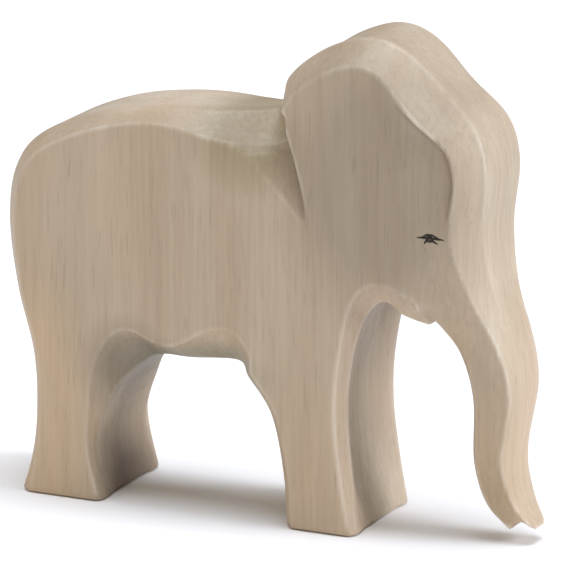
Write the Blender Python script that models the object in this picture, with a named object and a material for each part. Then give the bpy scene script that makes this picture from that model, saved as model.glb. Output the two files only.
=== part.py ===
"""A toy elephant carved from one piece of wood, with eyes painted on both sides of the head.

The body is sawn from a 35 mm board, so it starts as a profile in the XZ plane. A knife then takes
broad bevels off the arrises. Each place on the outline says how deep the bevel cuts into the
profile, how wide the face between the two bevels stays, how thick the board is left there, and
how deep a channel is cut along the middle. +X is towards the trunk, +Y is the elephant's left.
"""
from math import hypot, radians, sqrt

import bmesh
import bpy
from mathutils import Matrix, Vector
from mathutils.geometry import delaunay_2d_cdt

MM = 0.001

# Driving dimensions, in millimetres.
BOARD_HALF = 17.5          # half the board's thickness
STEP = 3.0                 # longest run between two sections along the outline
EVEN_OUT = 2               # sections on each side that a bevel's direction is evened out over
CHANNEL_FLOOR = 0.5        # the channel's flat floor, as a share of the face it is cut in
PAINT_GAP = 0.3            # the paint stands this far clear of the wood
PAINT_THICK = 0.3
WASTE = (200.0, 60.0, 30.0)    # length, width and depth of the waste sawn off under the feet
BALL_ROUND, BALL_RISE = 28, 14    # facets round and up the ball that cuts a hollow
BALL_DEPTH = 3.0           # the ball is this many times deeper than its cut

# Triangulation: how near two points may be to count as one, and the mode that fills the outline.
WELD = 0.0000001
INSIDE_ONLY = 1

SIDES = (("right", -1), ("left", 1))
CORNER, SMOOTH = True, False

# The outline from the rear heel over the back, head and trunk, and back along the belly.
# x, z, bevel depth, half the face between the bevels, half thickness, channel depth, corner
OUTLINE = (
    (-69.5, -10.0, 1.5, 15.0, 17.5, 0.0, CORNER),
    (-66.0, 0.0, 2.5, 15.0, 17.5, 0.0, SMOOTH),
    (-63.0, 10.5, 2.5, 15.0, 17.5, 0.0, SMOOTH),
    (-62.0, 22.5, 2.5, 14.5, 17.5, 0.0, SMOOTH),
    (-63.0, 36.5, 3.0, 14.0, 17.5, 0.0, SMOOTH),
    (-68.0, 52.5, 3.5, 12.5, 17.5, 0.0, SMOOTH),
    (-71.0, 69.5, 4.5, 11.0, 17.5, 0.0, SMOOTH),
    (-69.0, 83.5, 4.5, 11.0, 17.5, 0.0, SMOOTH),
    (-61.5, 93.0, 4.0, 11.0, 17.5, 0.0, SMOOTH),
    (-45.0, 100.0, 3.2, 11.0, 17.5, 0.0, SMOOTH),
    (-27.0, 103.0, 3.0, 11.0, 17.5, 0.0, SMOOTH),
    (-9.0, 103.5, 6.0, 10.5, 17.5, 0.0, SMOOTH),
    (2.5, 104.5, 7.5, 9.5, 17.5, 0.0, CORNER),
    (3.5, 109.0, 5.5, 9.5, 17.5, 0.0, SMOOTH),
    (9.0, 116.5, 5.5, 10.0, 17.5, 0.3, SMOOTH),
    (18.5, 123.0, 5.5, 10.0, 17.5, 0.6, SMOOTH),
    (29.0, 126.0, 6.0, 10.0, 17.5, 0.8, SMOOTH),
    (38.5, 123.0, 6.5, 9.5, 17.5, 0.6, SMOOTH),
    (48.5, 114.0, 7.5, 8.5, 17.5, 0.3, SMOOTH),
    (57.5, 105.0, 6.5, 10.0, 17.5, 0.0, SMOOTH),
    (60.5, 94.0, 6.0, 10.5, 17.5, 0.0, SMOOTH),
    (59.5, 79.0, 6.0, 9.5, 17.2, 0.0, SMOOTH),
    (61.5, 65.0, 4.0, 7.5, 13.6, 0.0, SMOOTH),
    (66.0, 51.5, 2.2, 5.0, 10.8, 0.0, SMOOTH),
    (68.0, 38.5, 1.5, 3.8, 9.4, 0.0, SMOOTH),
    (66.0, 22.0, 1.8, 3.8, 8.5, 0.0, SMOOTH),
    (67.0, 12.0, 1.2, 3.8, 7.5, 0.0, SMOOTH),
    (71.5, 3.5, 0.6, 3.8, 5.5, 0.0, CORNER),
    (67.5, 5.5, 0.6, 3.8, 6.0, 0.0, SMOOTH),
    (64.5, 3.0, 0.6, 4.0, 5.5, 0.0, CORNER),
    (58.5, 9.5, 1.2, 5.0, 7.0, 0.0, SMOOTH),
    (55.5, 20.5, 1.4, 6.2, 8.5, 0.0, SMOOTH),
    (55.5, 36.5, 1.6, 7.0, 9.4, 0.0, SMOOTH),
    (53.0, 48.0, 2.0, 9.0, 11.5, 0.0, SMOOTH),
    (48.5, 54.5, 4.5, 10.5, 14.0, 0.0, SMOOTH),
    (46.5, 56.5, 5.0, 11.0, 15.0, 0.0, CORNER),
    (45.5, 55.0, 5.0, 11.0, 15.5, 0.0, CORNER),
    (39.0, 57.0, 7.0, 12.0, 17.0, 0.0, SMOOTH),
    (33.5, 60.0, 5.5, 12.5, 17.5, 1.0, SMOOTH),
    (28.5, 54.0, 3.2, 13.5, 17.5, 2.4, SMOOTH),
    (25.5, 40.5, 2.4, 14.0, 17.5, 3.4, SMOOTH),
    (25.0, 27.5, 2.2, 14.0, 17.5, 3.6, SMOOTH),
    (26.5, 13.5, 2.0, 14.5, 17.5, 3.0, SMOOTH),
    (28.5, 0.0, 1.5, 15.5, 17.5, 0.6, SMOOTH),
    (31.0, -10.0, 1.5, 15.5, 17.5, 0.6, CORNER),
    (9.0, -10.0, 2.5, 15.0, 17.5, 0.0, CORNER),
    (8.5, 0.0, 2.5, 15.0, 17.5, 0.0, SMOOTH),
    (7.5, 13.5, 2.5, 15.0, 17.5, 0.0, SMOOTH),
    (4.0, 28.0, 2.8, 14.5, 17.5, 0.0, SMOOTH),
    (-3.0, 36.5, 4.0, 13.0, 17.5, 0.0, SMOOTH),
    (-8.0, 39.0, 10.5, 8.5, 17.5, 0.0, SMOOTH),
    (-21.0, 38.0, 5.5, 8.0, 17.5, 0.0, SMOOTH),
    (-28.0, 38.0, 6.0, 8.0, 17.5, 0.0, SMOOTH),
    (-32.0, 37.0, 10.0, 8.0, 17.5, 0.0, SMOOTH),
    (-36.5, 33.5, 8.5, 9.5, 17.5, 0.0, SMOOTH),
    (-41.0, 28.5, 6.0, 12.0, 17.5, 0.3, SMOOTH),
    (-44.5, 14.5, 1.2, 15.5, 17.5, 0.6, SMOOTH),
    (-41.5, 0.0, 1.0, 16.0, 17.5, 0.6, SMOOTH),
    (-38.5, -10.0, 1.0, 16.0, 17.5, 0.6, CORNER),
)

# Knife hollows on both sides: name, middle as x and z, half length and half width of the cut,
# depth, and tilt in degrees.
HOLLOWS = (
    ("behind_ear", (1.6, 96.0), (17.0, 8.5), 4.5, -24.0),
    ("temple", (50.6, 94.0), (13.5, 6.5), 1.5, -8.0),
)

# Each painted stroke: x and z down its middle, then half its height there.
EYE_STROKES = {
    "eye_lid_line": ((44.8, 78.9, 0.15), (46.8, 79.3, 0.4), (48.6, 79.6, 0.5), (50.2, 79.3, 0.35),
                     (52.0, 78.9, 0.15)),
    "eye_iris": ((47.0, 77.9, 0.3), (47.8, 77.9, 0.8), (48.9, 77.9, 0.8), (49.8, 77.9, 0.3)),
}


def spline(points, spacing):
    """Rows along a smooth curve through these rows, without the last row."""
    ghosts = ([2 * a - b for a, b in zip(points[0], points[1])],
              [2 * a - b for a, b in zip(points[-1], points[-2])])
    line = [ghosts[0], *points, ghosts[1]]
    rows = []
    for before, start, end, after in zip(line, line[1:], line[2:], line[3:]):
        count = max(1, round(hypot(end[0] - start[0], end[1] - start[1]) / spacing))
        for step in range(count):
            t = step / count
            rows.append([
                b + 0.5 * t * (c - a + t * (2 * a - 5 * b + 4 * c - d + t * (3 * (b - c) + d - a)))
                for a, b, c, d in zip(before, start, end, after)
            ])
    return rows


def outline_rows(spacing):
    """The whole outline as closely spaced rows, smooth between its corners."""
    corners = [i for i, row in enumerate(OUTLINE) if row[-1]]
    rows = []
    for first, last in zip(corners, corners[1:] + [corners[0] + len(OUTLINE)]):
        run = [OUTLINE[i % len(OUTLINE)][:-1] for i in range(first, last + 1)]
        rows += spline(run, spacing)
    return rows


def inward_normals(places):
    """The direction into the wood at each place on a clockwise outline, evened out over neighbours."""
    count = len(places)
    edges = [places[(i + 1) % count] - here for i, here in enumerate(places)]
    normals = []
    for i in range(count):
        ahead = sum((edges[(i + k) % count] for k in range(-EVEN_OUT, EVEN_OUT)), Vector((0, 0)))
        normals.append(Vector((ahead.y, -ahead.x)).normalized())
    return normals


def section(place, normal, bevel, face, half, channel):
    """One section across the board: side, bevel, face with a channel along it, bevel, side."""
    half = min(half, BOARD_HALF)
    floor = CHANNEL_FLOOR * face
    points = ((-half, bevel), (-face, 0.0), (-floor, channel), (floor, channel), (face, 0.0), (half, bevel))
    return [((place + normal * depth).x, y, (place + normal * depth).y) for y, depth in points]


def empty_scene():
    for obj in list(bpy.data.objects):
        bpy.data.objects.remove(obj, do_unlink=True)


def collection(name):
    made = bpy.data.collections.new(name)
    bpy.context.scene.collection.children.link(made)
    return made


def material(name, colour, roughness):
    made = bpy.data.materials.new(name)
    made.use_nodes = True
    shader = made.node_tree.nodes["Principled BSDF"]
    shader.inputs["Base Color"].default_value = (*colour, 1.0)
    shader.inputs["Roughness"].default_value = roughness
    shader.inputs["Metallic"].default_value = 0.0
    made.diffuse_color = (*colour, 1.0)
    return made


def mesh_object(name, shape, home, finish=None):
    mesh = bpy.data.meshes.new(name)
    shape.to_mesh(mesh)
    shape.free()
    obj = bpy.data.objects.new(name, mesh)
    home.objects.link(obj)
    if finish:
        mesh.materials.append(finish)
    return obj


def sawn_blank():
    """The bevelled board: a band of sections around the outline, closed by the two flat sides."""
    rows = outline_rows(STEP)
    places = [Vector(row[:2]) for row in rows]
    sections = [section(place, normal, *row[2:])
                for place, normal, row in zip(places, inward_normals(places), rows)]
    shape = bmesh.new()
    rings = [[shape.verts.new(Vector(point) * MM) for point in ring] for ring in sections]
    for ring, following in zip(rings, rings[1:] + rings[:1]):
        for i in range(len(ring) - 1):
            shape.faces.new((ring[i], ring[i + 1], following[i + 1], following[i]))
    sides = ([ring[0] for ring in rings], [ring[-1] for ring in rings])
    for side in sides:
        flat = [Vector((vert.co.x, vert.co.z)) for vert in side]
        triangles = delaunay_2d_cdt(flat, [], [list(range(len(flat)))], INSIDE_ONLY, WELD)[2]
        for triangle in triangles:
            shape.faces.new([side[i] for i in triangle])
    bmesh.ops.recalc_face_normals(shape, faces=shape.faces)
    return shape


def cutter_object(name, shape, home):
    cutter = mesh_object(name, shape, home)
    cutter.hide_render = True
    cutter.display_type = "WIRE"
    return cutter


def ground_saw(home):
    """The block of waste under the feet, which saws the legs off level."""
    shape = bmesh.new()
    bmesh.ops.create_cube(shape, size=1.0)
    size = Matrix.Diagonal((*WASTE, 1.0))
    shape.transform(Matrix.Scale(MM, 4) @ Matrix.Translation((0, 0, -WASTE[2] / 2)) @ size)
    return cutter_object("ground_saw", shape, home)


def hollow(name, centre, radii, tilt, home):
    """A smooth knife hollow: an ellipsoid turned by this many degrees about Y."""
    shape = bmesh.new()
    bmesh.ops.create_uvsphere(shape, u_segments=BALL_ROUND, v_segments=BALL_RISE, radius=1.0)
    turn = Matrix.Rotation(radians(tilt), 4, "Y")
    size = Matrix.Diagonal((*radii, 1.0))
    shape.transform(Matrix.Scale(MM, 4) @ Matrix.Translation(centre) @ turn @ size)
    return cutter_object(name, shape, home)


def cut(obj, cutter):
    modifier = obj.modifiers.new(cutter.name, "BOOLEAN")
    modifier.operation = "DIFFERENCE"
    modifier.solver = "EXACT"
    modifier.object = cutter


def carved_body(home, cutters, wood):
    body = mesh_object("carved_body", sawn_blank(), home, wood)
    cut(body, ground_saw(cutters))
    spread = sqrt(1 - (1 - 1 / BALL_DEPTH) ** 2)    # the cut's rim, as a share of the ball's radius
    for side, sign in SIDES:
        for name, (x, z), (length, width), depth, tilt in HOLLOWS:
            centre = (x, sign * (BOARD_HALF + (BALL_DEPTH - 1) * depth), z)
            radii = (width / spread, BALL_DEPTH * depth, length / spread)
            cut(body, hollow(f"{name}_{side}", centre, radii, tilt, cutters))
    return body


def paint_stroke(name, stroke, sign, home, paint):
    """One flat brush stroke on a side of the head."""
    upper = [(x, z + half) for x, z, half in stroke]
    lower = [(x, z - half) for x, z, half in reversed(stroke)]
    curve = bpy.data.curves.new(name, "CURVE")
    curve.dimensions = "2D"
    curve.fill_mode = "BOTH"
    curve.extrude = PAINT_THICK / 2 * MM
    edge = curve.splines.new("POLY")
    edge.points.add(len(upper + lower) - 1)
    for point, (x, z) in zip(edge.points, upper + lower):
        point.co = (x * MM, z * MM, 0.0, 1.0)
    edge.use_cyclic_u = True
    curve.materials.append(paint)
    obj = bpy.data.objects.new(name, curve)
    obj.location.y = sign * (BOARD_HALF + PAINT_GAP + PAINT_THICK / 2) * MM
    obj.rotation_euler.x = radians(90)
    home.objects.link(obj)


def main():
    empty_scene()
    home = collection("carved_wooden_elephant")
    cutters = collection("cutters")
    wood = material("oiled_pale_wood", (0.44, 0.33, 0.23), 0.6)
    paint = material("dark_brown_paint", (0.03, 0.018, 0.012), 0.5)
    carved_body(home, cutters, wood)
    for side, sign in SIDES:
        for name, stroke in EYE_STROKES.items():
            paint_stroke(f"{name}_{side}", stroke, sign, home, paint)


main()
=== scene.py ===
"""The looks of a small carved elephant: one block of pale oiled wood, with eyes painted on both sides.

The wood is made once more at full detail, as the solid that is left after five cuts: the sawn
profile, the bevels, the flat sides, a channel down the front of the legs and over the crown, and
the knife hollows behind the ears and at the temples. The cuts meet in arrises worn round by hand.
"""
from math import cos, radians, sin

import bmesh
import bpy
import numpy as np
import openvdb
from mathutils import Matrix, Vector

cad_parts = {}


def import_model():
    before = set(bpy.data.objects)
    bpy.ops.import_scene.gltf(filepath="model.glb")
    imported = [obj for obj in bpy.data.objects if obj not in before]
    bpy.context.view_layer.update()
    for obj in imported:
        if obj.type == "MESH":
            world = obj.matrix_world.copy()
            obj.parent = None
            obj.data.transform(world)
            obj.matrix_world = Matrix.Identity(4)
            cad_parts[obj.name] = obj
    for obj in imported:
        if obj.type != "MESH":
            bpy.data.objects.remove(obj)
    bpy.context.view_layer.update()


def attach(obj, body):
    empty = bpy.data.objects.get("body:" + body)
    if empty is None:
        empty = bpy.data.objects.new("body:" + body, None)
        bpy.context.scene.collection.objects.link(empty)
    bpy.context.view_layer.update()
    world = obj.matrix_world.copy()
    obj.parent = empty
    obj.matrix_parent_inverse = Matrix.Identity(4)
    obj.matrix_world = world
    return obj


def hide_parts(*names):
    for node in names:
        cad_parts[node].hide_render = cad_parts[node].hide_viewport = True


MM = 0.001

# The outline of the sawn board, from the rear heel over the back, head and trunk, and back along
# the belly, in millimetres. It runs on below the floor, where the feet are cut off.
# x, z, bevel depth, half the face between the bevels, channel depth, corner
CORNER, SMOOTH = True, False
OUTLINE = (
    (-69.5, -10.0, 1.5, 15.0, 0.0, CORNER),
    (-66.0, 0.0, 2.5, 15.0, 0.0, SMOOTH),
    (-63.0, 10.5, 2.5, 15.0, 0.0, SMOOTH),
    (-62.0, 22.5, 2.5, 14.5, 0.0, SMOOTH),
    (-63.0, 36.5, 3.0, 14.0, 0.0, SMOOTH),
    (-68.0, 52.5, 3.5, 12.5, 0.0, SMOOTH),
    (-71.0, 69.5, 4.5, 11.0, 0.0, SMOOTH),
    (-69.0, 83.5, 4.5, 11.0, 0.0, SMOOTH),
    (-61.5, 93.0, 4.0, 11.0, 0.0, SMOOTH),
    (-45.0, 100.0, 3.2, 11.0, 0.0, SMOOTH),
    (-27.0, 103.0, 3.0, 11.0, 0.0, SMOOTH),
    (-9.0, 103.5, 6.0, 10.5, 0.0, SMOOTH),
    (2.5, 104.5, 7.5, 9.5, 0.0, CORNER),
    (3.5, 109.0, 5.5, 9.5, 0.0, SMOOTH),
    (9.0, 116.5, 5.5, 10.0, 0.3, SMOOTH),
    (18.5, 123.0, 5.5, 10.0, 0.6, SMOOTH),
    (29.0, 126.0, 6.0, 10.0, 0.8, SMOOTH),
    (38.5, 123.0, 6.5, 9.5, 0.6, SMOOTH),
    (48.5, 114.0, 7.5, 8.5, 0.3, SMOOTH),
    (57.5, 105.0, 6.5, 10.0, 0.0, SMOOTH),
    (60.5, 94.0, 6.0, 10.5, 0.0, SMOOTH),
    (59.5, 79.0, 6.0, 9.5, 0.0, SMOOTH),
    (61.5, 65.0, 4.0, 7.5, 0.0, SMOOTH),
    (66.0, 51.5, 2.2, 5.0, 0.0, SMOOTH),
    (68.0, 38.5, 1.5, 3.8, 0.0, SMOOTH),
    (66.0, 22.0, 1.8, 3.8, 0.0, SMOOTH),
    (67.0, 12.0, 0.8, 3.6, 0.0, SMOOTH),
    (71.5, 3.5, 0.6, 3.8, 0.0, CORNER),
    (67.5, 5.5, 0.6, 3.8, 0.0, SMOOTH),
    (64.5, 3.0, 0.6, 4.0, 0.0, CORNER),
    (58.5, 9.5, 1.2, 5.0, 0.0, SMOOTH),
    (55.5, 20.5, 1.4, 6.2, 0.0, SMOOTH),
    (55.5, 36.5, 1.6, 7.0, 0.0, SMOOTH),
    (53.0, 48.0, 2.0, 9.0, 0.0, SMOOTH),
    (48.5, 54.5, 4.5, 10.5, 0.0, SMOOTH),
    (46.5, 56.5, 5.0, 11.0, 0.0, CORNER),
    (45.5, 55.0, 5.0, 11.0, 0.0, CORNER),
    (39.0, 57.0, 7.0, 12.0, 0.0, SMOOTH),
    (33.5, 60.0, 5.5, 12.5, 1.0, SMOOTH),
    (28.5, 54.0, 3.2, 13.5, 2.4, SMOOTH),
    (25.5, 40.5, 2.4, 14.0, 3.4, SMOOTH),
    (25.0, 27.5, 2.2, 14.0, 3.6, SMOOTH),
    (26.5, 13.5, 2.0, 14.5, 3.0, SMOOTH),
    (28.5, 0.0, 1.5, 15.5, 0.6, SMOOTH),
    (31.0, -10.0, 1.5, 15.5, 0.6, CORNER),
    (9.0, -10.0, 2.5, 15.0, 0.0, CORNER),
    (8.5, 0.0, 2.5, 15.0, 0.0, SMOOTH),
    (7.5, 13.5, 2.5, 15.0, 0.0, SMOOTH),
    (4.0, 28.0, 2.8, 14.5, 0.0, SMOOTH),
    (-3.0, 36.5, 4.0, 13.0, 0.0, SMOOTH),
    (-8.0, 39.0, 10.5, 8.5, 0.0, SMOOTH),
    (-21.0, 38.0, 5.5, 8.0, 0.0, SMOOTH),
    (-28.0, 38.0, 6.0, 8.0, 0.0, SMOOTH),
    (-32.0, 37.0, 10.0, 8.0, 0.0, SMOOTH),
    (-36.5, 33.5, 8.5, 9.5, 0.0, SMOOTH),
    (-40.5, 28.0, 5.5, 13.0, 0.3, SMOOTH),
    (-45.0, 14.5, 1.2, 14.5, 0.6, SMOOTH),
    (-42.0, 0.0, 1.0, 15.0, 0.6, SMOOTH),
    (-39.0, -10.0, 1.0, 15.0, 0.6, CORNER),
)

BOARD_HALF = 17.5
SIDES = (("right", -1), ("left", 1))

# Half the thickness of the head and trunk at these heights.
TRUNK_HEIGHTS = (3.0, 6.0, 9.5, 12.0, 21.0, 38.0, 51.0, 64.5, 78.5, 88.0)
TRUNK_HALVES = (4.9, 5.4, 6.5, 7.2, 8.5, 9.4, 10.8, 13.6, 17.0, 17.5)
TRUNK_BEGINS = (39.0, 51.0)

# The channel's flat floor, as a share of the face it is cut in.
CHANNEL_FLOOR = 0.45

# The knife hollow behind each ear lies between the neck's line and the ear's line, by height.
EAR_Z = (70.0, 80.0, 95.0, 106.0, 112.0)
EAR_X = (18.5, 14.3, 10.0, 6.4, 4.8)
NECK_Z = (70.0, 79.5, 84.5, 95.0, 97.5, 99.5)
NECK_X = (18.5, 13.6, 9.0, -1.0, -7.5, -15.0)
NECK_FOOT = (74.0, 84.0)   # it runs out downwards between these heights
NECK_LEAD = -0.15          # and the cut starts this share of its width behind the neck's line
NECK_DEPTH = 5.0
NECK_SLOPE = 0.44          # the most depth for each millimetre of width
EAR_WALL = 1.8

# The temple is dished along the front arris, between these heights and this far in from it.
TEMPLE_DEPTH = 1.7
TEMPLE_RISE = (78.0, 92.0)
TEMPLE_FALL = (102.0, 117.0)
TEMPLE_RIM = 1.3
TEMPLE_REACH = 15.0
TEMPLE_BEGINS = (30.0, 42.0)

# The solid is sampled on a grid over the block, with a margin round it. All in millimetres.
VOXEL = 0.5
LENGTH_HALF = 72.0
HEIGHT = 127.0
MARGIN = 2.0
OUTLINE_SPACING = 0.2      # between the points that the outline is drawn through
SMOOTHING = 1              # passes over the finished mesh

# How wide the worn edges are, in millimetres.
FACE_ARRIS = 0.6
SIDE_ARRIS = 0.4
FOOT_ARRIS = 0.5

# The unevenness that the knife and the sandpaper leave, in millimetres: its depth and its waves.
RIPPLE_SEED = 7
RIPPLE_DEPTH = 0.08
RIPPLE_LENGTHS = (6.0, 7.0, 9.0, 11.0, 14.0)
RIPPLE_PHASE = 6.3

# Averaging passes over the measure of how sharply the surface turns, and the heights in millimetres
# between which the paler arrises (partly wear, partly painted highlight) and the painted shade in creases
# set in.
ARRIS_PASSES = 2
FOOT_FADE = (0.5, 2.5)

# Places where shade and light are painted into the wood's colour, in metres: middle, half size, what the
# colour is multiplied by.
# Factors below 1 are painted shade (head side, nape, belly, both arches, inside of the rear foot, front
# channel, trunk side and tip);
# factors above 1 are painted light (back, chin, far front leg, rear leg).
# Each fades out between these shares of its size, with a wavy edge.
PAINTED_LIGHT_FADE = (0.9, 1.52)
PAINTED_LIGHT_WAVES = 0.5
PAINTED_SHADE_AND_LIGHT = {
    "head": ((0.034, 0.0, 0.09), (0.024, 0.06, 0.034), (0.74, 0.74, 0.75)),
    "nape": ((-0.001, 0.0, 0.098), (0.016, 0.03, 0.012), (0.78, 0.78, 0.7)),
    "back": ((-0.033, 0.0, 0.104), (0.034, 0.0125, 0.007), (1.2, 1.25, 1.33)),
    "belly": ((-0.018, 0.0, 0.037), (0.03, 0.02, 0.009), (0.7, 0.78, 0.81)),
    "rear_arch": ((-0.035, 0.0, 0.0355), (0.012, 0.036, 0.013), (0.7, 0.7, 0.71)),
    "rear_foot_inside": ((-0.0395, 0.002, 0.002), (0.008, 0.0165, 0.022), (0.42, 0.39, 0.37)),
    "front_arch": ((0.027, 0.002, 0.046), (0.007, 0.0125, 0.016), (0.84, 0.87, 0.94)),
    "chin": ((0.036, 0.0, 0.0605), (0.009, 0.022, 0.0065), (1.2, 1.24, 1.31)),
    "front_channel": ((0.0255, -0.001, 0.022), (0.007, 0.009, 0.03), (0.89, 0.91, 0.93)),
    "far_front_leg": ((0.032, 0.0125, 0.018), (0.012, 0.0065, 0.03), (1.09, 1.1, 1.13)),
    "trunk_side": ((0.0605, 0.0, 0.036), (0.0055, 0.02, 0.026), (0.93, 0.93, 0.92)),
    "trunk_tip": ((0.061, 0.0, 0.01), (0.0055, 0.02, 0.014), (0.85, 0.86, 0.8)),
    "rear_leg": ((-0.06, 0.0, 0.022), (0.013, 0.06, 0.032), (1.13, 1.07, 0.99)),
}

# The painted eye, in millimetres. Each stroke: x and z down its middle, and half its width there.
EYE_STROKES = (
    ((44.8, 79.0, 0.12), (46.4, 79.1, 0.34), (50.0, 79.1, 0.36), (52.0, 79.0, 0.12)),
    ((46.2, 79.3, 0.15), (47.4, 79.9, 0.3), (48.8, 79.9, 0.3), (50.4, 79.3, 0.15)),
    ((47.4, 78.5, 0.4), (46.7, 77.7, 0.22)),
    ((48.8, 78.5, 0.4), (50.0, 77.8, 0.22)),
)
IRIS_MIDDLE = (48.1, 78.9)
IRIS_RADIUS, IRIS_HALF = 0.62, 0.38      # down the middle of the ring's stroke, and half its width
EYE_X, EYE_OUT, EYE_Z = (44.0, 53.0), (16.0, 18.0), (77.0, 81.0)
EYE_VOXEL = 0.06
PAINT_THICK = 0.08
PAINT_EDGE = 0.2           # the paint reaches its full thickness this far in from its outline
PAINT_SOAK = 0.15          # how deep it sits in the wood

# The view in degrees, round from straight in front of the elephant's right side and up from level,
# then metres, and the lens in millimetres.
CAMERA_AZIMUTH = 25.4
CAMERA_RISE = 15.2
CAMERA_DISTANCE = 1.501
CAMERA_TARGET = (0.0011, 0.0, 0.0577)
CAMERA_LENS = 378.9

FLOOR_HALF = 6.0           # metres, and the gap that keeps the floor clear of the soles
FLOOR_DROP = 0.0002
WORLD_STRENGTH = 0.24
WORLD_COLOUR = (1.0, 0.96, 0.91)
# Name, direction towards the lamp, how wide it looks in degrees, strength, colour.
LAMPS = (
    ("overhead", (0.05, 0.0, 1.0), 42.0, 2.5, (0.92, 1.0, 1.14)),
    ("trunk_side", (0.9, 0.13, 0.42), 26.0, 2.4, (0.92, 1.0, 1.14)),
    ("fill", (-0.35, -0.9, 0.3), 60.0, 0.47, (1.0, 0.94, 0.84)),
)


def smoothstep(low, high, value):
    t = np.clip((value - low) / (high - low), 0.0, 1.0)
    return t * t * (3.0 - 2.0 * t)


def spline(points, spacing):
    """Rows along a smooth curve through these rows, without the last row."""
    line = np.array([2 * points[0] - points[1], *points, 2 * points[-1] - points[-2]])
    rows = []
    for a, b, c, d in zip(line, line[1:], line[2:], line[3:]):
        count = max(1, round(float(np.hypot(*(c - b)[:2])) / spacing))
        for t in np.arange(count) / count:
            rows.append(b + 0.5 * t * (c - a + t * (2 * a - 5 * b + 4 * c - d + t * (3 * (b - c) + d - a))))
    return rows


def outline_rows(spacing):
    corners = [i for i, row in enumerate(OUTLINE) if row[-1]]
    rows = []
    for first, last in zip(corners, corners[1:] + [corners[0] + len(OUTLINE)]):
        rows += spline([np.array(OUTLINE[i % len(OUTLINE)][:-1]) for i in range(first, last + 1)], spacing)
    return np.array(rows)


def profile_field(xs, zs):
    """Over the XZ grid: how far inside the outline, and the nearest point's bevel, face and channel.

    Places outside the outline have a depth below zero.
    """
    rows = outline_rows(OUTLINE_SPACING)
    start, end = rows, np.roll(rows, -1, axis=0)
    run = end[:, :2] - start[:, :2]
    length2 = (run ** 2).sum(1)
    depth = np.empty((len(xs), len(zs)))
    values = np.empty((len(xs), len(zs), rows.shape[1] - 2))
    grid_z = zs[:, None]
    for i, x in enumerate(xs):
        from_start = np.stack(np.broadcast_arrays(x - start[:, 0], grid_z - start[:, 1]), axis=2)
        t = np.clip((from_start * run).sum(2) / length2, 0.0, 1.0)
        gap = np.hypot(*(from_start - t[..., None] * run).transpose(2, 0, 1))
        nearest = gap.argmin(1)
        line = np.arange(len(zs))
        share = t[line, nearest][:, None]
        values[i] = (1 - share) * start[nearest, 2:] + share * end[nearest, 2:]
        above = (start[:, 0] > x) != (end[:, 0] > x)
        cross_z = start[above, 1] + (x - start[above, 0]) * run[above, 1] / run[above, 0]
        inside = (cross_z[None, :] > grid_z).sum(1) % 2 == 1
        depth[i] = np.where(inside, 1, -1) * gap[line, nearest]
    return depth, values


def side_half(x, z):
    """How far the flat side stands from the middle plane: the head and trunk narrow towards the tip."""
    narrow = BOARD_HALF - np.interp(z, TRUNK_HEIGHTS, TRUNK_HALVES)
    return BOARD_HALF - narrow * smoothstep(*TRUNK_BEGINS, x)


def knife_hollows(x, z, rim):
    """Depth of the cuts in the flat side: the neck behind the ear, and the temple.

    The rim is how far in each place is from the bevel's arris.
    """
    ear = np.interp(z, EAR_Z, EAR_X)
    neck = np.interp(z, NECK_Z, NECK_X)
    width = np.maximum(ear - neck, 0.01)
    across = (x - neck) / width
    deepest = np.minimum(NECK_DEPTH, NECK_SLOPE * width)
    wall = 1.0 - smoothstep(0.0, EAR_WALL, x - ear)
    neck_cut = deepest * smoothstep(NECK_LEAD, 1.0, across) * wall * smoothstep(*NECK_FOOT, z)
    temple_z = smoothstep(*TEMPLE_RISE, z) * (1.0 - smoothstep(*TEMPLE_FALL, z))
    temple = temple_z * smoothstep(*TEMPLE_BEGINS, x)
    dish = smoothstep(0.0, TEMPLE_RIM, rim) * (1.0 - smoothstep(TEMPLE_RIM, TEMPLE_REACH, rim))
    return neck_cut + TEMPLE_DEPTH * temple * dish


def soft_min(a, b, width):
    blend = np.maximum(width - np.abs(a - b), 0.0) / width
    return np.minimum(a, b) - 0.25 * width * blend * blend


def ripple(x, y, z, waves):
    """A gentle unevenness, from -1 to 1, made of long waves in fixed random directions."""
    total = 0.0
    for wave in waves:
        total = total + np.sin(wave[0] * x + wave[1] * y + wave[2] * z + wave[3])
    return total / len(waves)


class Block:
    """The board's profile and thickness on an XZ grid, and what the knife leaves of it."""

    def __init__(self, xs, zs):
        self.x, self.z = xs[:, None], zs[None, :]
        self.depth, values = profile_field(xs, zs)
        self.bevel, self.face, self.channel = values.transpose(2, 0, 1)
        self.half = side_half(self.x, self.z)
        self.hollow = knife_hollows(self.x, self.z, self.depth - self.bevel)
        self.slope = self.bevel / (self.half - np.minimum(self.face, self.half - 1.0))
        random = np.random.default_rng(RIPPLE_SEED)
        self.waves = [(*random.normal(0.0, 1.0 / length, 3), random.uniform(0.0, RIPPLE_PHASE))
                      for length in RIPPLE_LENGTHS]

    def wear(self, y):
        """How far the uneven surface lies inside the true cuts, as a number below zero."""
        return RIPPLE_DEPTH * (ripple(self.x, y, self.z, self.waves) - 1.0)

    def inside(self, y):
        """At this distance from the middle plane: how deep in the wood each place is."""
        out = np.abs(y) + self.hollow
        channel = self.channel * (1.0 - smoothstep(CHANNEL_FLOOR * self.face, self.face, out))
        cut_bevel = (self.depth - self.slope * (out - self.face)) / np.sqrt(1.0 + self.slope ** 2)
        worn = soft_min(self.depth - channel, cut_bevel, FACE_ARRIS)
        return soft_min(worn, self.half - out, SIDE_ARRIS) + self.wear(y)


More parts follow.
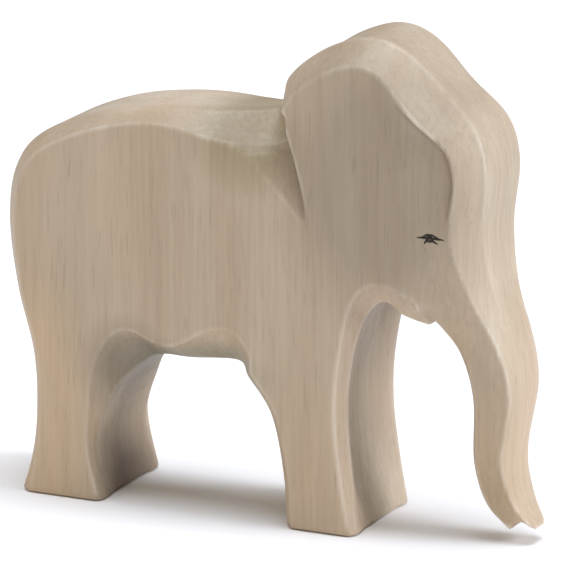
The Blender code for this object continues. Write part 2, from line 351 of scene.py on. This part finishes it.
def carved_solid():
    """Samples of the carved block on a grid: negative inside, about millimetres from the surface."""
    xs = np.arange(-LENGTH_HALF - MARGIN, LENGTH_HALF + MARGIN, VOXEL)
    ys = np.arange(-BOARD_HALF - MARGIN, BOARD_HALF + MARGIN, VOXEL)
    zs = np.arange(-MARGIN, HEIGHT + MARGIN, VOXEL)
    block = Block(xs, zs)
    solid = np.empty((len(xs), len(ys), len(zs)), np.float32)
    for j, y in enumerate(ys):
        solid[:, j, :] = -soft_min(block.inside(y), block.z, FOOT_ARRIS)
    return (xs[0], ys[0], zs[0]), solid


def brushed(x, z, stroke):
    """How far inside the outline of this stroke each place is: negative outside it."""
    inside = []
    for (x0, z0, half0), (x1, z1, half1) in zip(stroke, stroke[1:]):
        run_x, run_z = x1 - x0, z1 - z0
        along = np.clip(((x - x0) * run_x + (z - z0) * run_z) / (run_x ** 2 + run_z ** 2), 0.0, 1.0)
        gap = np.hypot(x - x0 - along * run_x, z - z0 - along * run_z)
        inside.append(half0 + along * (half1 - half0) - gap)
    return np.maximum.reduce(inside)


def painted_eye(side):
    """Samples of the paint on one side of the head: a thin crowned layer that follows the wood."""
    xs, outs, zs = (np.arange(*reach, EYE_VOXEL) for reach in (EYE_X, EYE_OUT, EYE_Z))
    block = Block(xs, zs)
    wood = block.half - block.hollow + block.wear(side * block.half)
    ring = IRIS_HALF - np.abs(np.hypot(block.x - IRIS_MIDDLE[0], block.z - IRIS_MIDDLE[1]) - IRIS_RADIUS)
    inside = np.maximum.reduce([ring] + [brushed(block.x, block.z, stroke) for stroke in EYE_STROKES])
    top = wood + PAINT_THICK * smoothstep(0.0, PAINT_EDGE, inside)
    solid = np.empty((len(xs), len(outs), len(zs)), np.float32)
    for j, out in enumerate(outs):
        solid[:, j, :] = -np.minimum(inside, np.minimum(top - out, out - wood + PAINT_SOAK))
    return (xs[0], outs[0], zs[0]), solid


def surface_mesh(name, corner, solid, voxel, side=1):
    """The zero surface of the samples, as a mesh of quads in metres, mirrored if side is -1."""
    grid = openvdb.FloatGrid(background=MARGIN)
    grid.copyFromArray(solid)
    points, quads = grid.convertToQuads()
    mesh = bpy.data.meshes.new(name)
    mesh.from_pydata(((points * voxel + corner) * (1, side, 1) * MM).tolist(), [], quads.tolist())
    mesh.validate()
    shape = bmesh.new()
    shape.from_mesh(mesh)
    for _ in range(SMOOTHING):
        bmesh.ops.smooth_vert(shape, verts=shape.verts, factor=0.5,
                              use_axis_x=True, use_axis_y=True, use_axis_z=True)
    bmesh.ops.recalc_face_normals(shape, faces=shape.faces)
    shape.to_mesh(mesh)
    shape.free()
    mesh.shade_smooth()
    return mesh


def mark_arrises(mesh):
    """Stores at each vertex how sharply the surface turns outwards there, per millimetre."""
    count = len(mesh.vertices)
    places, normals = np.empty(count * 3), np.empty(count * 3)
    mesh.vertices.foreach_get("co", places)
    mesh.vertex_normals.foreach_get("vector", normals)
    places, normals = places.reshape(-1, 3) / MM, normals.reshape(-1, 3)
    edges = np.empty(len(mesh.edges) * 2, int)
    mesh.edges.foreach_get("vertices", edges)
    here, there = np.concatenate([edges.reshape(-1, 2), edges.reshape(-1, 2)[:, ::-1]]).T
    valence = np.bincount(here, minlength=count)
    run = places[here] - places[there]
    drop = 2.0 * (run * normals[here]).sum(1) / (run ** 2).sum(1)
    turn = np.bincount(here, drop, count) / valence
    for _ in range(ARRIS_PASSES):
        turn = 0.5 * turn + 0.5 * np.bincount(here, turn[there], count) / valence
    turn *= smoothstep(*FOOT_FADE, places[:, 2])
    mesh.attributes.new("arris", "FLOAT", "POINT").data.foreach_set("value", turn.astype(np.float32))


def add_object(name, mesh, finish):
    obj = bpy.data.objects.new(name, mesh)
    bpy.context.scene.collection.objects.link(obj)
    mesh.materials.append(finish)
    return obj


# Sockets of the Mix node for colours, which repeat the names of those for numbers.
MIX_FACTOR, MIX_FIRST, MIX_SECOND, MIX_RESULT = 0, 6, 7, 2


class Nodes:
    """A short way to write a material's node tree."""

    def __init__(self, name):
        self.material = bpy.data.materials.new(name)
        self.material.use_nodes = True
        self.tree = self.material.node_tree
        self.shader = self.tree.nodes["Principled BSDF"]

    def add(self, kind, inputs=(), **settings):
        node = self.tree.nodes.new("ShaderNode" + kind)
        for key, value in settings.items():
            setattr(node, key, value)
        for key, value in dict(inputs).items():
            self.put(node.inputs[key], value)
        return node

    def put(self, socket, value):
        if isinstance(value, bpy.types.NodeSocket):
            self.tree.links.new(value, socket)
        else:
            socket.default_value = value

    def ramp(self, value, *stops):
        node = self.add("ValToRGB", {"Fac": value})
        ramp = node.color_ramp
        for element, (place, colour) in zip(ramp.elements[:], (stops[0], stops[-1])):
            element.position, element.color = place, colour
        for place, colour in stops[1:-1]:
            ramp.elements.new(place).color = colour
        return node.outputs["Color"]

    def mix(self, share, first, second, mode="MIX"):
        node = self.add("Mix", data_type="RGBA", blend_type=mode)
        self.put(node.inputs[MIX_FACTOR], share)
        self.put(node.inputs[MIX_FIRST], first)
        self.put(node.inputs[MIX_SECOND], second)
        return node.outputs[MIX_RESULT]

    def math(self, operation, first, second=0.0):
        node = self.add("Math", operation=operation)
        self.put(node.inputs[0], first)
        self.put(node.inputs[1], second)
        return node.outputs[0]


def srgb(red, green, blue):
    """A colour from display values of 0 to 255 to the linear values that shaders use."""
    parts = [value / 255 for value in (red, green, blue)]
    return (*[p / 12.92 if p <= 0.04045 else ((p + 0.055) / 1.055) ** 2.4 for p in parts], 1.0)


def grey(level):
    return (level, level, level, 1.0)


def wood_material():
    """Pale oiled wood, grain upright: fine pores, broad soft growth bands and a few warm patches, with
    painted shade and painted light in set places, paler arrises that are partly wear and partly painted
    highlight, and painted shade in creases.
    """
    n = Nodes("oiled_pale_wood")
    place = n.add("TexCoord").outputs["Object"]

    def streaks(across, along, detail, rough):
        scaled = n.add("Mapping", {"Vector": place, "Scale": (across, across, along)}).outputs[0]
        noise = n.add("TexNoise", {"Vector": scaled, "Scale": 1.0, "Detail": detail, "Roughness": rough})
        return noise.outputs["Fac"]

    def near(middle, size, waves):
        """White where painted shade and light lie, and black past their edge. A ramp ends at 1, so all is
        halved.
        """
        reach = n.add("VectorMath", {0: place, 1: middle}, operation="SUBTRACT").outputs[0]
        reach = n.add("VectorMath", {0: reach, 1: size}, operation="DIVIDE").outputs[0]
        reach = n.add("VectorMath", {0: reach}, operation="LENGTH").outputs["Value"]
        reach = n.math("ADD", reach, n.math("MULTIPLY", waves, PAINTED_LIGHT_WAVES))
        full, none = PAINTED_LIGHT_FADE
        return n.ramp(n.math("MULTIPLY", reach, 0.5), (full / 2, grey(1.0)), (none / 2, grey(0.0)))

    bands = streaks(110.0, 8.0, 3.0, 0.55)
    fibres = streaks(800.0, 30.0, 3.0, 0.55)
    pores = streaks(2400.0, 110.0, 2.0, 0.5)
    patches = streaks(26.0, 16.0, 2.0, 0.5)
    colour = n.ramp(bands, (0.3, srgb(178, 157, 131)), (0.5, srgb(185, 165, 139)),
                    (0.72, srgb(192, 173, 148)))
    colour = n.mix(n.ramp(patches, (0.5, grey(0.0)), (0.75, grey(0.4))), colour, srgb(196, 160, 126))
    colour = n.mix(n.ramp(fibres, (0.35, grey(0.2)), (0.6, grey(0.0))), colour, srgb(150, 131, 110))
    colour = n.mix(n.ramp(pores, (0.3, grey(0.22)), (0.42, grey(0.0))), colour, srgb(126, 107, 88))
    # Painted shade and painted light: the colour is multiplied in each listed place.
    for middle, size, light_factor in PAINTED_SHADE_AND_LIGHT.values():
        painted_light_colour = n.add("VectorMath", {0: colour, 1: light_factor}, operation="MULTIPLY").outputs[0]
        colour = n.mix(near(middle, size, patches), colour, painted_light_colour)
    # Paler outward arrises: partly wear on the edges, partly a painted highlight.
    turn = n.add("Attribute", attribute_name="arris").outputs["Fac"]
    wear_and_sheen = n.ramp(n.math("ADD", bands, n.math("MULTIPLY", fibres, 0.4)),
                    (0.5, grey(0.0)), (0.85, grey(0.65)))
    worn = n.math("MULTIPLY", n.ramp(turn, (0.1, grey(0.0)), (0.6, grey(1.0))), wear_and_sheen)
    colour = n.mix(worn, colour, srgb(224, 212, 194))
    # Darker inward creases: painted shade.
    painted_crease_shade = n.ramp(n.math("MULTIPLY", turn, -1.0), (0.04, grey(1.0)), (0.35, (0.75, 0.72, 0.7, 1.0)))
    colour = n.mix(1.0, colour, painted_crease_shade, "MULTIPLY")
    n.put(n.shader.inputs["Base Color"], colour)
    n.put(n.shader.inputs["Roughness"], n.ramp(fibres, (0.3, grey(0.6)), (0.7, grey(0.48))))
    height = n.math("ADD", n.math("MULTIPLY", fibres, 0.6), n.math("MULTIPLY", pores, 0.4))
    bump = n.add("Bump", {"Height": height, "Strength": 0.25, "Distance": 0.0002})
    n.put(n.shader.inputs["Normal"], bump.outputs[0])
    return n.material


def paint_material():
    """Dark brown water paint, brushed thin, so it is a little uneven."""
    n = Nodes("dark_brown_paint")
    place = n.add("TexCoord").outputs["Object"]
    uneven = n.add("TexNoise", {"Vector": place, "Scale": 1800.0, "Detail": 3.0}).outputs["Fac"]
    n.put(n.shader.inputs["Base Color"], n.ramp(uneven, (0.35, srgb(22, 15, 10)), (0.75, srgb(48, 34, 23))))
    n.shader.inputs["Roughness"].default_value = 0.6
    n.shader.inputs["Specular IOR Level"].default_value = 0.35
    return n.material


def floor_material():
    """A plain matt paper sweep, nearly white."""
    n = Nodes("studio_paper")
    place = n.add("TexCoord").outputs["Object"]
    fibre = n.add("TexNoise", {"Vector": place, "Scale": 900.0, "Detail": 2.0}).outputs["Fac"]
    colour = n.ramp(fibre, (0.0, (0.94, 0.91, 0.88, 1.0)), (1.0, (0.96, 0.93, 0.9, 1.0)))
    n.put(n.shader.inputs["Base Color"], colour)
    n.shader.inputs["Roughness"].default_value = 0.9
    return n.material


def studio():
    """A white floor and soft light from above and from the trunk's side."""
    scene = bpy.context.scene
    shape = bmesh.new()
    bmesh.ops.create_grid(shape, x_segments=2, y_segments=2, size=FLOOR_HALF)
    mesh = bpy.data.meshes.new("floor")
    shape.to_mesh(mesh)
    shape.free()
    floor = add_object("floor", mesh, floor_material())
    floor.location.z = -FLOOR_DROP
    world = bpy.data.worlds.new("studio")
    world.use_nodes = True
    world.node_tree.nodes["Background"].inputs["Color"].default_value = (*WORLD_COLOUR, 1.0)
    world.node_tree.nodes["Background"].inputs["Strength"].default_value = WORLD_STRENGTH
    scene.world = world
    for name, towards, spread, strength, colour in LAMPS:
        light = bpy.data.lights.new(name, "SUN")
        light.angle = radians(spread)
        light.energy = strength
        light.color = colour
        lamp = bpy.data.objects.new(name, light)
        lamp.rotation_euler = Vector(towards).to_track_quat("Z", "Y").to_euler()
        scene.collection.objects.link(lamp)
    scene.view_settings.view_transform = "Standard"
    scene.view_settings.look = "None"


def camera():
    """A long lens from the front right, a little above."""
    azimuth, rise = radians(CAMERA_AZIMUTH), radians(CAMERA_RISE)
    look = Vector((-sin(azimuth) * cos(rise), cos(azimuth) * cos(rise), -sin(rise)))
    data = bpy.data.cameras.new("camera")
    data.sensor_width = 36.0
    data.lens = CAMERA_LENS
    data.clip_end = 100.0
    cam = bpy.data.objects.new("camera", data)
    cam.location = Vector(CAMERA_TARGET) - look * CAMERA_DISTANCE
    cam.rotation_euler = look.to_track_quat("-Z", "Y").to_euler()
    bpy.context.scene.collection.objects.link(cam)
    bpy.context.scene.camera = cam


def main():
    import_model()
    camera()
    studio()
    body = add_object("carved_wood", surface_mesh("carved_wood", *carved_solid(), VOXEL), wood_material())
    mark_arrises(body.data)
    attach(body, "root")
    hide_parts("carved_body")
    paint = paint_material()
    for name, side in SIDES:
        mesh = surface_mesh("painted_eye_" + name, *painted_eye(side), EYE_VOXEL, side)
        eye = add_object("painted_eye_" + name, mesh, paint)
        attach(eye, "root")
        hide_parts("eye_lid_line_" + name, "eye_iris_" + name)


main()
